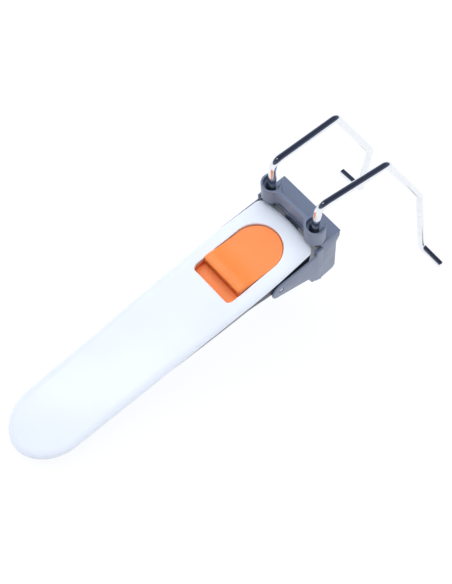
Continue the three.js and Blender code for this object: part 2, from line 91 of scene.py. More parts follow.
SPRING_Y, SPRING_Z, SPRING_COIL, SPRING_WIRE, SPRING_TURNS = (-30.7, -5.1), -7.0, 2.2, 0.4, 9


# ---------------------------------------------------------------- mesh tools
def obj_from(verts, faces, name="work"):
    mesh = bpy.data.meshes.new(name)
    mesh.from_pydata([tuple(v) for v in verts], [], [tuple(f) for f in faces])
    bm = bmesh.new()
    bm.from_mesh(mesh)
    bmesh.ops.remove_doubles(bm, verts=bm.verts, dist=1e-4)
    bmesh.ops.dissolve_degenerate(bm, dist=1e-5, edges=bm.edges)
    bmesh.ops.recalc_face_normals(bm, faces=bm.faces)
    bm.to_mesh(mesh)
    bm.free()
    obj = bpy.data.objects.new(name, mesh)
    SCENE.collection.objects.link(obj)
    return obj


def loft(rings, ends="flat"):
    """Skins a stack of closed rings. ends: flat caps, a ladder across mirrored rings, or none for a loop."""
    rings = [np.asarray(r, float) for r in rings]
    count = len(rings[0])
    stack = len(rings)
    faces = []
    for k in range(stack if ends == "loop" else stack - 1):
        low, high = k * count, ((k + 1) % stack) * count
        for i in range(count):
            j = (i + 1) % count
            faces.append((low + i, low + j, high + j, high + i))
    for start in (0, (stack - 1) * count):
        if ends == "flat":
            faces.append([start + i for i in range(count)])
        if ends == "ladder":
            half = count // 2
            faces.append((start, start + 1, start + count - 1))
            for i in range(1, half - 1):
                faces.append((start + i, start + i + 1, start + count - i - 1, start + count - i))
            faces.append((start + half - 1, start + half, start + half + 1))
    return obj_from(np.concatenate(rings), faces)


def prism(points, x0, x1, bevel=0.0, segments=2):
    """A side view, points (y, z), swept across from x0 to x1."""
    ring = np.array(points, float)
    ends = [np.c_[np.full(len(ring), x), ring] for x in (x0, x1)]
    return bevelled(loft(ends), bevel, segments)


def box(x0, x1, y0, y1, z0, z1, bevel=0.0, segments=2):
    return prism([(y0, z0), (y1, z0), (y1, z1), (y0, z1)], x0, x1, bevel, segments)


def lathe(profile, at, axis="Z", sides=40):
    """A profile of (radius, height) turned about an axis through at. A radius of 0 closes an end."""
    turn = np.arange(sides) * 2 * math.pi / sides
    rings = []
    for radius, height in profile:
        circle = np.c_[radius * np.cos(turn), radius * np.sin(turn), np.full(sides, height)]
        rings.append(circle[:, {"Z": [0, 1, 2], "X": [2, 0, 1], "Y": [1, 2, 0]}[axis]] + np.array(at, float))
    return loft(rings)


def cylinder(at, radius, low, high, axis="Z", sides=40):
    return lathe([(radius, low), (radius, high)], at, axis, sides)


def bevelled(obj, width, segments=2, angle=25):
    if width:
        bm = bmesh.new()
        bm.from_mesh(obj.data)
        limit = math.radians(angle)
        edges = [e for e in bm.edges if len(e.link_faces) == 2 and e.calc_face_angle(0) > limit]
        bmesh.ops.bevel(
            bm, geom=edges, offset=width, segments=segments, profile=0.5, affect="EDGES", clamp_overlap=True
        )
        bm.to_mesh(obj.data)
        bm.free()
    return obj


def combine(target, tools, how):
    for tool in tools:
        mod = target.modifiers.new("combine", "BOOLEAN")
        mod.operation = how
        mod.object = tool
        mod.solver = "EXACT"
        bpy.context.view_layer.update()
        result = bpy.data.meshes.new_from_object(target.evaluated_get(bpy.context.evaluated_depsgraph_get()))
        target.modifiers.clear()
        old = target.data
        target.data = result
        bpy.data.meshes.remove(old)
        bpy.data.objects.remove(tool)
    return target


def union(target, *tools):
    return combine(target, tools, "UNION")


def cut(target, *tools):
    return combine(target, tools, "DIFFERENCE")


def both_sides(make):
    """Two copies of a solid, for the right (1) and the left (-1)."""
    return [make(side) for side in (1, -1)]


def mirrored_box(x0, x1, *rest, **more):
    return [box(x0, x1, *rest, **more), box(-x1, -x0, *rest, **more)]


def arc(centre, radius, start, end, steps):
    """Points on an arc in a plane, from start to end in degrees."""
    turn = np.radians(np.linspace(start, end, steps))
    return np.c_[centre[0] + radius * np.cos(turn), centre[1] + radius * np.sin(turn)]


def chaikin(points, times=3):
    """Rounds a line's corners, keeping its ends."""
    points = np.array(points, float)
    for _ in range(times):
        first, second = points[:-1], points[1:]
        mixed = np.stack([0.75 * first + 0.25 * second, 0.25 * first + 0.75 * second], 1)
        mixed = mixed.reshape(-1, points.shape[1])
        points = np.vstack([points[:1], mixed, points[-1:]])
    return points


def smoothstep(value, low, high):
    t = np.clip((np.asarray(value, float) - low) / (high - low), 0, 1)
    return t * t * (3 - 2 * t)


def place(obj, name, material, body, nodes=(), sharp=30):
    """Takes a finished solid to the row frame, with its shading, material and body."""
    bm = bmesh.new()
    bm.from_mesh(obj.data)
    bmesh.ops.remove_doubles(bm, verts=bm.verts, dist=2e-4)
    bmesh.ops.recalc_face_normals(bm, faces=bm.faces)
    limit = math.radians(sharp)
    for face in bm.faces:
        face.smooth = True
    for edge in bm.edges:
        edge.smooth = len(edge.link_faces) == 2 and edge.calc_face_angle(0) < limit
    bm.to_mesh(obj.data)
    bm.free()
    obj.data.transform(TO_ROW)
    obj.name = obj.data.name = name
    obj.data.materials.clear()
    obj.data.materials.append(material)
    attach(obj, body)
    if nodes:
        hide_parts(*nodes)
    return obj


# ---------------------------------------------------------------- materials
def new_material(name, **sockets):
    material = bpy.data.materials.new(name)
    material.use_nodes = True
    tree = material.node_tree
    shader = tree.nodes["Principled BSDF"]
    for socket, value in sockets.items():
        shader.inputs[socket.replace("_", " ")].default_value = value
    return material, tree, shader


def add_node(tree, kind, **inputs):
    node = tree.nodes.new(kind)
    for socket, value in inputs.items():
        node.inputs[socket.replace("_", " ")].default_value = value
    return node


def noise(tree, scale, detail=3.0, stretch=(1, 1, 1), rough=0.5):
    coords = tree.nodes.new("ShaderNodeTexCoord")
    mapping = add_node(tree, "ShaderNodeMapping", Scale=stretch)
    texture = add_node(tree, "ShaderNodeTexNoise", Scale=scale, Detail=detail, Roughness=rough)
    tree.links.new(coords.outputs["Object"], mapping.inputs["Vector"])
    tree.links.new(mapping.outputs["Vector"], texture.inputs["Vector"])
    return texture.outputs["Fac"]


def ramp(tree, source, stops):
    node = tree.nodes.new("ShaderNodeValToRGB")
    elements = node.color_ramp.elements
    while len(elements) < len(stops):
        elements.new(0.5)
    for element, (position, colour) in zip(elements, stops):
        element.position = position
        element.color = (*colour, 1) if len(colour) == 3 else colour
    tree.links.new(source, node.inputs["Fac"])
    return node.outputs["Color"]


def spread(tree, source, low, high):
    node = add_node(tree, "ShaderNodeMapRange")
    node.inputs["From Min"].default_value = 0.3
    node.inputs["From Max"].default_value = 0.7
    node.inputs["To Min"].default_value = low
    node.inputs["To Max"].default_value = high
    tree.links.new(source, node.inputs["Value"])
    return node.outputs["Result"]


def bumps(tree, shader, layers):
    """Stacks bump nodes; a layer is (height, strength, distance in metres)."""
    previous = None
    for height, strength, distance in layers:
        node = add_node(tree, "ShaderNodeBump", Strength=strength, Distance=distance)
        tree.links.new(height, node.inputs["Height"])
        if previous:
            tree.links.new(previous, node.inputs["Normal"])
        previous = node.outputs["Normal"]
    tree.links.new(previous, shader.inputs["Normal"])


def plastic(name, dark, light, rough, grain, grain_scale, sink, wave=0.0, **sockets):
    """Moulded plastic: faint colour drift, uneven gloss, surface grain and slow sink waves."""
    material, tree, shader = new_material(name, **sockets)
    drift = noise(tree, 34.0, 4.0)
    tree.links.new(ramp(tree, drift, [(0.3, dark), (0.7, light)]), shader.inputs["Base Color"])
    tree.links.new(spread(tree, noise(tree, 90.0, 5.0), *rough), shader.inputs["Roughness"])
    layers = [(noise(tree, grain_scale, 2.0), grain, 0.0001), (noise(tree, sink, 1.0), wave, 0.001)]
    bumps(tree, shader, layers)
    return material


def metal(name, dark, light, rough, grain, stretch=(1, 1, 1), **sockets):
    material, tree, shader = new_material(name, Metallic=1.0, **sockets)
    patches = noise(tree, 260.0, 4.0, stretch)
    tree.links.new(ramp(tree, patches, [(0.3, dark), (0.7, light)]), shader.inputs["Base Color"])
    tree.links.new(spread(tree, noise(tree, 420.0, 5.0, stretch), *rough), shader.inputs["Roughness"])
    bumps(tree, shader, [(noise(tree, 900.0, 3.0, stretch), grain, 0.0001)])
    return material


WHITE = plastic(
    "white_abs", (0.80, 0.835, 0.90), (0.83, 0.86, 0.92), (0.12, 0.2), 0.03, 1500.0, 26.0, 0.06,
    IOR=1.53, Coat_Weight=0.25, Coat_Roughness=0.06,
)
ORANGE = plastic(
    "orange_plastic", (0.97, 0.25, 0.055), (1.0, 0.29, 0.07), (0.36, 0.46), 0.25, 2600.0, 60.0, 0.03, IOR=1.5
)
GREY = plastic(
    "grey_nylon", (0.155, 0.185, 0.27), (0.185, 0.22, 0.31), (0.34, 0.46), 0.3, 2400.0, 60.0, 0.04, IOR=1.5
)
# Lower shell: its colour is painted shade, set near black so the slot beside the ears and the thin line under
# the cover's lip come out dark; the shell's own colour is not known.
UNDERSIDE_PAINTED_SHADE = plastic(
    "underside_painted_shade", (0.045, 0.05, 0.07), (0.06, 0.068, 0.09), (0.4, 0.5), 0.25, 2400.0, 40.0, 0.04, IOR=1.5
)
NYLON = plastic("nylon", (0.62, 0.62, 0.57), (0.7, 0.7, 0.65), (0.4, 0.55), 0.2, 2000.0, 60.0, 0.02, IOR=1.53)
CHROME = metal("chrome_wire", (0.80, 0.81, 0.83), (0.88, 0.89, 0.9), (0.03, 0.08), 0.02)
STEEL = metal("zinc_steel", (0.46, 0.47, 0.5), (0.6, 0.61, 0.63), (0.24, 0.42), 0.2, (1, 1, 4))


# ---------------------------------------------------------------- grip outline
def half_width(y):
    """Half the grip's width: it widens to the head, rounds over and narrows to the front."""
    ends = [END_Y, HEAD_Y, FRONT_Y - FRONT_BOW - CORNER]
    width = np.interp(y, ends, [END_HALF, HEAD_HALF, FRONT_HALF])
    reach = 12.0
    at = np.interp([HEAD_Y - reach, HEAD_Y + reach], ends, [END_HALF, HEAD_HALF, FRONT_HALF])
    t = (y - HEAD_Y + reach) / (2 * reach)
    curve = (1 - t) ** 2 * at[0] + 2 * t * (1 - t) * HEAD_HALF + t**2 * at[1]
    return np.where((t > 0) & (t < 1), curve, width)


TOE_N, SIDE_N, CORNER_N, FRONT_N = 30, 56, 12, 16


def half_outline(inset):
    """Right half of the grip seen from above, from the free end to the head."""
    turn = np.linspace(-math.pi / 2, 0, TOE_N, endpoint=False)
    toe = np.c_[(END_HALF - inset) * np.cos(turn), END_Y + (END_LENGTH - inset) * np.sin(turn)]
    corner = max(CORNER - inset, 0.8)
    front = FRONT_Y - inset
    y = np.linspace(END_Y, front - FRONT_BOW - corner, SIDE_N, endpoint=False)
    side = np.c_[half_width(y) - inset, y]
    edge = FRONT_HALF - inset - corner
    turn = np.linspace(0, math.pi / 2, CORNER_N, endpoint=False)
    bend = np.c_[edge + corner * np.cos(turn), front - FRONT_BOW - corner + corner * np.sin(turn)]
    t = np.linspace(1, 0, FRONT_N)
    return np.vstack([toe, side, bend, np.c_[edge * t, front - FRONT_BOW * t * t]])


def whole(half):
    """A closed ring from its right half."""
    half = np.array(half, float)
    half[0, 0] = half[-1, 0] = 0
    return np.vstack([half, half[-2:0:-1] * [-1, 1]])


def ring_at(plan, z):
    z = z(plan[:, 0], plan[:, 1]) if callable(z) else np.full(len(plan), float(z))
    return np.c_[plan, z]


def opening_half(grow):
    """Right half of the thumb opening, with its points matched to those of half_outline."""
    half, corner = OPEN_HALF + grow, OPEN_CORNER + grow
    arch_y = OPEN_LENGTH - OPEN_HALF
    turn = np.linspace(-math.pi / 2, 0, 12)
    bend = np.c_[half - corner + corner * np.cos(turn), corner - grow + corner * np.sin(turn)]
    turn = np.linspace(0, math.pi / 2, 60)
    arch = np.c_[half * np.cos(turn), arch_y + half * np.sin(turn)]
    path = np.vstack([[0, -grow], bend, arch])
    along = np.r_[0, np.cumsum(np.hypot(*np.diff(path, axis=0).T))]
    rear, bent = along[1], along[12]
    y = half_outline(3.8)[TOE_N : TOE_N + SIDE_N, 1]
    sides = np.interp(
        y,
        [END_Y, 0, arch_y, y[-1]],
        [0.5 * rear, 0.85 * bent, along[13], 0.5 * (along[13] + along[-1])],
    )
    places = np.r_[
        np.linspace(0, sides[0], TOE_N, endpoint=False),
        sides,
        np.linspace(sides[-1], along[-1], CORNER_N + FRONT_N + 1)[1:],
    ]
    return np.c_[np.interp(places, along, path[:, 0]), np.interp(places, along, path[:, 1])]


# ---------------------------------------------------------------- cover of the grip
def cover_top(x, y):
    """The cover's slight crown, and its fall towards the free end."""
    return -0.35 * (x / HEAD_HALF) ** 2 - 0.5 * smoothstep(-y, 84, 117)


def cover():
    """The white top: one closed skin round its outer edge, the thumb opening and the underside."""
    rings = []
    edge, fall = 3.8, 2.2
    lip = 0.15
    rings.append(ring_at(whole(half_outline(lip)), PARTING_Z))
    rings.append(ring_at(whole(half_outline(0)), PARTING_Z + lip))
    for step in range(0, 11):
        angle = 0.5 * math.pi * step / 10
        plan = whole(half_outline(edge * (1 - math.cos(angle))))
        rings.append(ring_at(plan, lambda x, y: cover_top(x, y) - fall * (1 - math.sin(angle))))
    outer = whole(half_outline(edge))
    inner = whole(opening_half(0.5))
    for t in np.linspace(0, 1, 20)[1:-1]:
        rings.append(ring_at(outer * (1 - t) + inner * t, cover_top))
    for step in range(0, 6):
        angle = 0.5 * math.pi * step / 5
        plan = whole(opening_half(0.5 * (1 - math.sin(angle))))
        rings.append(ring_at(plan, lambda x, y: cover_top(x, y) - 0.5 * (1 - math.cos(angle))))
    rings.append(ring_at(whole(opening_half(0)), -WALL - 0.2))
    under = whole(half_outline(3.4))
    hole = whole(opening_half(0))
    rings.append(ring_at(0.5 * (under + hole), -WALL - 0.2))
    rings.append(ring_at(under, -WALL - 0.2))
    rings += [ring_at(whole(half_outline(2.0)), z) for z in (-2.6, PARTING_Z)]
    shell = loft(rings, "loop")
    posts = []
    for x, y in SHELL_SCREWS.values():
        post = cylinder((x, y, 0), 2.7, -9.3, -1.2)
        posts.append(cut(post, cylinder((x, y, 0), SCREW_HOLE, -10, -4.2, sides=24)))
    for side in (1, -1):
        for y in RAIL_SCREW_Y:
            x0, x1 = sorted((side * 13.9, side * 16.3))
            post = box(x0, x1, y - 1.5, y + 1.5, -4.4, -1.4)
            posts.append(cut(post, cylinder((side * RAIL_SCREW_X, y, 0), 0.8, -6, -2.4, sides=20)))
    return union(shell, *posts)


# ---------------------------------------------------------------- lower shell of the grip
def lower_depth(y):
    """Depth below the parting line: shallow at the free end, deep at the head."""
    return TOE_DEPTH + (HEAD_DEPTH - TOE_DEPTH) * smoothstep(y, -75, 5)


def lower_shell():
    """A hollow boat shape, with screw wells, a seat for the guide pin, hubs and the tongue's slot."""
    rings = []
    floor_insets = [13.0, 16.0, 17.8]
    inside = [(1.0, inset) for inset in reversed(floor_insets)]
    inside += [(1.0, 10.6), (0.93, 8.4), (0.8, 6.4), (0.65, 5.0), (0.5, 4.2), (0.3, 3.5)]
    for share, inset in inside:
        lift = WALL * share
        plan = whole(half_outline(inset))
        rings.append(ring_at(plan, lambda x, y: LOWER_TOP - share * lower_depth(y) + lift))
    for inset, z in ((2.8, LOWER_TOP), (1.35, LOWER_TOP), (1.2, LOWER_TOP - 0.15)):
        rings.append(ring_at(whole(half_outline(inset)), z))
    for share in (0.1, 0.2, 0.32, 0.45, 0.56, 0.66, 0.74, 0.81, 0.87, 0.92, 0.955, 0.98, 0.993):
        inset = 1.2 + 1.6 * share + 6.3 * share**5
        ring = ring_at(whole(half_outline(inset)), lambda x, y: LOWER_TOP - share * lower_depth(y))
        ring[:, 0] *= 1 + 0.1 * math.sin(math.pi * share) * smoothstep(ring[:, 1], 5, 28)
        rings.append(ring)
    for inset in (10.2, 11.6, *floor_insets):
        share = 0.998 if inset < 11 else 1.0
        rings.append(ring_at(whole(half_outline(inset)), lambda x, y: LOWER_TOP - share * lower_depth(y)))
    shell = loft(rings, "ladder")
    solid = []
    for x, y in SHELL_SCREWS.values():
        bottom = float(LOWER_TOP - lower_depth(y))
        solid.append(cylinder((x, y, 0), 4.2, bottom + 1.0, -9.6))
    floor_z = float(LOWER_TOP - lower_depth(-34.0))
    solid.append(box(-5, 5, -36.6, -31.4, floor_z + 1.0, -4.4))
    hub = [(HUB, 15.2), (HUB, 19.9), (HUB - 0.3, 20.2)]
    for profile in (hub, [(radius, -x) for radius, x in reversed(hub)]):
        solid.append(lathe(profile, (0, PIVOT.y, PIVOT.z), "X", 56))
    union(shell, *solid)
    holes = [cylinder((0, PIVOT.y, PIVOT.z), BUSH + GAP, -25, 25, "X", 48)]
    holes.append(box(-TONGUE_SLOT, TONGUE_SLOT, 44, 52, -7.1, -4.6))
    holes.append(cylinder((0, 0, SPRING_Z), 3.2, -35.3, -32.6, "Y"))
    holes.append(box(-3.2, 3.2, -35.3, -32.6, SPRING_Z, -4.0))
    holes.append(box(-1.5, 1.5, -34, -31, SPRING_Z - 1.5, -4.0))
    for x, y in SHELL_SCREWS.values():
        bottom = float(LOWER_TOP - lower_depth(y))
        rim = [(3.1, SEAT_Z + GAP), (3.1, bottom + 0.3), (3.4, bottom), (3.4, bottom - 3)]
        holes.append(lathe(rim[::-1], (x, y, 0)))
        holes.append(cylinder((x, y, 0), SCREW_HOLE, -14, -9, sides=24))
    return cut(shell, *holes)


# ---------------------------------------------------------------- thumb slide
SLIDE_HALF = OPEN_HALF - 0.4
BAR_PITCH, BAR_REACH, BAR_RISE = 2.6, 9.1, 0.16
THUMB = chaikin([
    (44, -1.2), (41, -1.25), (36, -1.5), (28, -1.4), (21, -0.9), (16.5, 0.2), (13.6, 1.7), (12, 2.6),
    (10.8, 2.95), (8.8, 3.0), (7.6, 2.8), (6.9, 2.0),
])[::-1]


def thumb_plan(inset):
    """Closed ring of the thumb piece seen from above."""
    half = SLIDE_HALF - inset
    arch_y = OPEN_LENGTH - OPEN_HALF
    rear = WELL_WALL + inset
    corner = max(1.6 - inset, 0.3)
    x = np.linspace(0, half - corner, 64, endpoint=False)
    y = np.linspace(rear + corner, arch_y, 56, endpoint=False)
    turn = np.linspace(0, math.pi / 2, 30)
    right = np.vstack([
        np.c_[x, np.full(64, rear)],
        arc((half - corner, rear + corner), corner, -90, 0, 10)[:-1],
        np.c_[np.full(56, half), y],
        np.c_[half * np.cos(turn), arch_y + half * np.sin(turn)],
    ])
    return whole(right)


def thumb_height(plan, inset):
    """Height of the thumb piece at its points, rounded over near its sides."""
    x, y = plan[:, 0], plan[:, 1]
    z = np.interp(y, THUMB[:, 0], THUMB[:, 1])
    z = z - 0.25 * (1 - (np.minimum(abs(x), SLIDE_HALF) / SLIDE_HALF) ** 2) * smoothstep(y, 16, 22)
    bar = smoothstep(np.cos(2 * math.pi * x / BAR_PITCH), 0.1, 0.75) * (abs(x) < BAR_REACH)
    z = z + BAR_RISE * bar * smoothstep(y, 8.3, 8.9) * (1 - smoothstep(y, 11.0, 11.7))
    arch = np.hypot(x, np.maximum(y - (OPEN_LENGTH - OPEN_HALF), 0))
    edge = SLIDE_HALF - np.where(y > OPEN_LENGTH - OPEN_HALF, arch, abs(x))
    radius = 0.35 + 1.35 * (1 - smoothstep(y, 12.5, 18.5))
    near = np.clip(1 - edge / radius, 0, 1)
    return z - radius * (1 - np.sqrt(1 - near**2))


def thumb_slide():
    """Dish, ridge with grip bars, drop wall, pocket floor, flange and spring tab in one moulding."""
    insets = [0, 0.02, 0.06, 0.12, 0.2, 0.3, 0.42, 0.58, 0.78, 1.02, 1.3, 1.6]
    insets += list(np.arange(1.8, 12.4, 0.3)) + [12.5]
    rings = [np.c_[thumb_plan(0), np.full(len(thumb_plan(0)), -3.4)]]
    for inset in insets:
        plan = thumb_plan(inset)
        rings.append(np.c_[plan, thumb_height(plan, inset)])
    rings.insert(1, rings[1] - [0, 0, 0.05])
    thumb = loft(rings, "ladder")
    arch_y = 45 - 6
    turn = np.linspace(0, math.pi / 2, 16)
    right = np.vstack([
        [[0, 7.2], [FLANGE, 7.2]],
        np.c_[FLANGE - 6 + 6 * np.cos(turn), arch_y + 6 * np.sin(turn)],
        [[0, 45.0]],
    ])
    plan = whole(right)
    flange = loft([np.c_[plan, np.full(len(plan), z)] for z in (-4.4, SLIDE_Z)])
    parts = [
        flange,
        box(-11.6, 11.6, WELL_WALL, WELL_FRONT, WELL_BOTTOM, 0),
        box(-FLANGE, FLANGE, WELL_REAR, WELL_FRONT, WELL_BOTTOM, WELL_TOP, bevel=0.2),
        *mirrored_box(12.7, FLANGE, WELL_REAR, WELL_FRONT, WELL_BOTTOM + 0.1, SLIDE_Z, bevel=0.15),
        box(-4.5, 4.5, -4.4, -2.9, -10.3, -5.3, bevel=0.2),
        box(-4.5, 4.5, -4.4, -2.9, -6.0, -4.4, bevel=0.2),
    ]
    slide = union(thumb, *parts)
    return cut(slide, *[cylinder((0, y, 0), 1.2, -5, -3.1, sides=24) for y in (19, 36)])


# ---------------------------------------------------------------- bracket
def ear(side):
    """Side plate from the block back to the pivot, with a chamfer along its outer top edge."""
    turn = np.linspace(0.5, 1.42, 24) * math.pi
    points = [(PIVOT.y + EAR_R * math.cos(t), PIVOT.z + EAR_R * math.sin(t)) for t in turn]
    points += [(43.2, -24.5), (43.7, -24.9), (44.0, -25.7), (46.1, -31.6), (48.9, -33.5), (52, -36.4)]
    points += [(52.4, -36.4), (52.4, PIVOT.z + EAR_R - 1.2)]
    inner = np.array(points)
    chamfer = 0.6 * smoothstep(inner[:, 1], PIVOT.z + 2, PIVOT.z + EAR_R - 1.2)
    outer = inner - np.c_[np.zeros(len(inner)), chamfer]
    sections = [(EAR_IN, inner), (EAR_IN + 0.1, inner), (EAR_OUT, outer)]
    return bevelled(loft([np.c_[np.full(len(ring), side * x), ring] for x, ring in sections]), 0.12)


def bracket():
    """Block with both ears and ribs, cut for the wire feet, the tongue and the cap screws."""
    side_view = [
        (BLOCK_REAR, BLOCK_TOP), (BLOCK_FRONT, BLOCK_TOP), (BLOCK_FRONT, -6.4), (BLOCK_FACE, -10.5),
        (BLOCK_FACE, -37), (61.4, -39.3), (54, BLOCK_BOTTOM), (BLOCK_REAR + 0.6, -38.6),
    ]
    block = prism(side_view, -BLOCK_HALF, BLOCK_HALF, 0.35, 3)
    union(
        block,
        *both_sides(ear),
        *mirrored_box(19, 21.35, 48.9, 53, -34.4, BLOCK_TOP, bevel=0.3),
        *mirrored_box(BLOCK_HALF + GAP, 21.35, 48.9, 53, BLOCK_TOP - 1, -1.4, bevel=0.3),
    )
    channels = mirrored_box(WIRE_X - 2.3, WIRE_X + 2.3, 51, FOOT_Y + GAP, -6.8, BLOCK_TOP + 1)
    x, y = CAP_SCREW
    return cut(
        block,
        box(-17.4, 17.4, 54.9, 61.3, BLOCK_BOTTOM - 1, -12, bevel=0.6),
        *channels,
        box(-5.5, 5.5, 50, 53.5, BLOCK_BOTTOM - 1, -4.2),
        box(-TONGUE_SLOT, TONGUE_SLOT, 50, 56.5, -7.4, -4.2),
        *both_sides(lambda s: cylinder((s * x, y, 0), 2.7, -7.9, 0)),
        *both_sides(lambda s: cylinder((s * x, y, 0), 1.3, -13, -7, sides=24)),
        cylinder((0, PIVOT.y, PIVOT.z), PIN + GAP, -25, 25, "X", 32),
    )


def clamp_outline():
    """Plan of the cross web and the two C-shaped bosses, counterclockwise from the front of the middle."""
    boss = (BOSS_X, BOSS_Y)
    out = math.degrees(math.asin(SLOT_HALF / BOSS_R))
    into = math.degrees(math.asin(SLOT_HALF / FUNNEL_R))
    rear_y, rear_r, front_y, front_r = 51.9, 3.5, 53.7, 1.5
    rear = math.degrees(math.asin((BOSS_Y - rear_y + rear_r) / (BOSS_R + rear_r)))
    front = math.degrees(math.asin((front_y + front_r - BOSS_Y) / (BOSS_R + front_r)))
    rear_at = (BOSS_X - (BOSS_R + rear_r) * math.cos(math.radians(rear)), rear_y - rear_r)
    front_at = (BOSS_X - (BOSS_R + front_r) * math.cos(math.radians(front)), front_y + front_r)
    right = np.vstack([
        [[0, front_y]],
        arc(front_at, front_r, -90, -front, 8),
        arc(boss, BOSS_R, 180 - front, 90 + out, 10)[1:],
        arc(boss, FUNNEL_R, 90 + into, 450 - into, 36),
        arc(boss, BOSS_R, 90 - out, rear - 180, 48),
        arc(rear_at, rear_r, rear, 90, 12)[1:],
        [[0, rear_y]],
    ])
    return np.vstack([right, right[-2:0:-1] * [-1, 1]])


def inset_ring(plan, amount):
    """Moves a closed ring inwards, along its own normals."""
    before, after = np.roll(plan, 1, 0), np.roll(plan, -1, 0)

    def normal(a, b):
        d = b - a
        n = np.c_[-d[:, 1], d[:, 0]]
        return n / np.maximum(np.linalg.norm(n, axis=1, keepdims=True), 1e-9)

    mean = normal(before, plan) + normal(plan, after)
    mean /= np.maximum((mean**2).sum(1, keepdims=True) / 2, 0.6)
    area = 0.5 * np.sum(plan[:, 0] * after[:, 1] - after[:, 0] * plan[:, 1])
    return plan + mean * amount * (1 if area > 0 else -1)


def bracket_cap():
    """Top plate with the cross web and the two split bosses that the wires stand in."""
    plan = clamp_outline()
    rim = 0.2
    levels = [(BOSS_BASE, 0.15), (BOSS_BASE + 0.15, 0.0), (5.0, 0.0), (8.0, 0.0), (11.0, 0.0)]
    levels += [
        (BOSS_TOP - rim * (1 - math.sin(a)), rim * (1 - math.cos(a))) for a in np.linspace(0, math.pi / 2, 6)
    ]
    rings = []
    for z, inset in levels:
        ring = inset_ring(plan, inset)
        lean = -0.087 * (z - 7) * (1 - smoothstep(abs(ring[:, 0]), 8, 12.5))
        rings.append(np.c_[ring[:, 0], ring[:, 1] + lean, np.full(len(ring), z)])
    clamps = loft(rings)
    plate_z = BLOCK_TOP + GAP
    side_view = [(BLOCK_REAR, plate_z), (65.2, plate_z), (65.2, -0.8), (BLOCK_REAR, -0.2)]
    plate = prism(side_view, -BLOCK_HALF, BLOCK_HALF, 0.22, 3)
    parts = [plate, box(-12.8, 12.8, 52.9, 54.25, -1, BOSS_BASE + 1)]
    for side in (1, -1):
        at = (side * BOSS_X, BOSS_Y, 0)
        sleeve = cylinder(at, 0.5 * (BOSS_R + FUNNEL_R), BOSS_BASE + 0.1, 11.8, sides=64)
        slot = box(at[0] - SLOT_HALF, at[0] + SLOT_HALF, BOSS_Y, 60, 4, 20)
        parts.append(cut(sleeve, lathe([(BORE_R, 4), (BORE_R, 11.0), (BORE_R + 1, 12)], at, sides=64), slot))
        disc = cylinder(at, BOSS_R - 0.6, -1, BOSS_BASE + 0.4, sides=64)
        parts.append(cut(disc, box(at[0] - 6, at[0] + 6, 40, BLOCK_REAR, -3, 4)))
        parts.append(cylinder((side * CAP_SCREW[0], CAP_SCREW[1], 0), 2.4, -7.5, plate_z + 0.5))
    union(clamps, *parts)
    holes = []
    for side in (1, -1):
        holes.append(cylinder((side * WIRE_X, WIRE_Y, 0), WIRE_R + GAP, -4, 5))
        holes.append(cylinder((side * CAP_SCREW[0], CAP_SCREW[1], 0), 1.3, -9, -3, sides=24))
    return cut(clamps, *holes)


# ---------------------------------------------------------------- wires, pins and screws
def tube(points, radius, sides=28, chamfer=0.0):
    """A round bar along a list of points, with chamfered ends."""
    points = [Vector(p) for p in points]
    if chamfer:
        first = (points[1] - points[0]).normalized()
        last = (points[-1] - points[-2]).normalized()
        start, end = points[0] + first * chamfer, points[-1] - last * chamfer
        points = [points[0], start, *points[1:-1], end, points[-1]]
    ahead = (points[1] - points[0]).normalized()
    across = ahead.orthogonal().normalized()
    rings = []
    for i, point in enumerate(points):
        before = (point - points[i - 1]).normalized() if i else ahead
        after = (points[i + 1] - point).normalized() if i < len(points) - 1 else before
        ahead = (before + after).normalized()
        across = (across - ahead * across.dot(ahead)).normalized()
        up = ahead.cross(across)
        r = radius - chamfer if chamfer and i in (0, len(points) - 1) else radius
        turn = np.arange(sides) * 2 * math.pi / sides
        rings.append([point + r * (across * math.cos(t) + up * math.sin(t)) for t in turn])
    return loft([np.array([tuple(v) for v in ring]) for ring in rings])


def rounded_path(corners, radii, steps=14):
    """A line through corners, each inner one rounded to its radius."""
    corners = [Vector(c) for c in corners]
    points = [corners[0]]
    for before, here, after, radius in zip(corners, corners[1:], corners[2:], radii):
        back, ahead = (before - here).normalized(), (after - here).normalized()
        half = back.angle(ahead) / 2
        centre = here + (back + ahead).normalized() * radius / math.sin(half)
        start = here + back * radius / math.tan(half) - centre
        end = here + ahead * radius / math.tan(half) - centre
        swing = start.angle(end)
        axis = start.cross(end).normalized()
        points += [centre + Matrix.Rotation(swing * k / steps, 3, axis) @ start for k in range(steps + 1)]
    points.append(corners[-1])
    return points


def wire(side):
    """From the foot in the block up through the boss, forward, down the leg and out to the hook pin."""
    corners = [
        (WIRE_X, FOOT_Y, -4.5), (WIRE_X, WIRE_Y, -4.5), (WIRE_X, WIRE_Y - 0.3, 13.0), (15.5, 54.2, 31.0),
        (17.2, 96.1, 21.6), (18.4, 124.8, -45.4), (24.6, 127.6, -101.2), (40.2, 127.6, -102.3),
    ]
    path = rounded_path([(side * x, y, z) for x, y, z in corners], [2.6, 20, 4.2, 5, 6, 4])
    return tube(path, WIRE_R, 32, 0.3)


def screw(x, y, seat, tip, head, height, shank):
    """A pan-head screw, head down, with a cross recess."""
    low = seat - height
    dome = [(head * 0.55, low), (head * 0.82, low + 0.06), (head * 0.96, low + 0.28), (head, low + 0.55)]
    rim = [(head, seat - 0.08), (head - 0.08, seat)]
    made = lathe(dome + rim + [(shank, seat), (shank, tip - 0.4), (shank * 0.6, tip)], (x, y, 0), sides=36)
    bars = []
    for a, b in ((0.55 * head, 0.13 * head), (0.13 * head, 0.55 * head)):
        bars.append(box(x - a, x + a, y - b, y + b, low - 0.5, low + 0.55 * height))
    return cut(made, *bars)


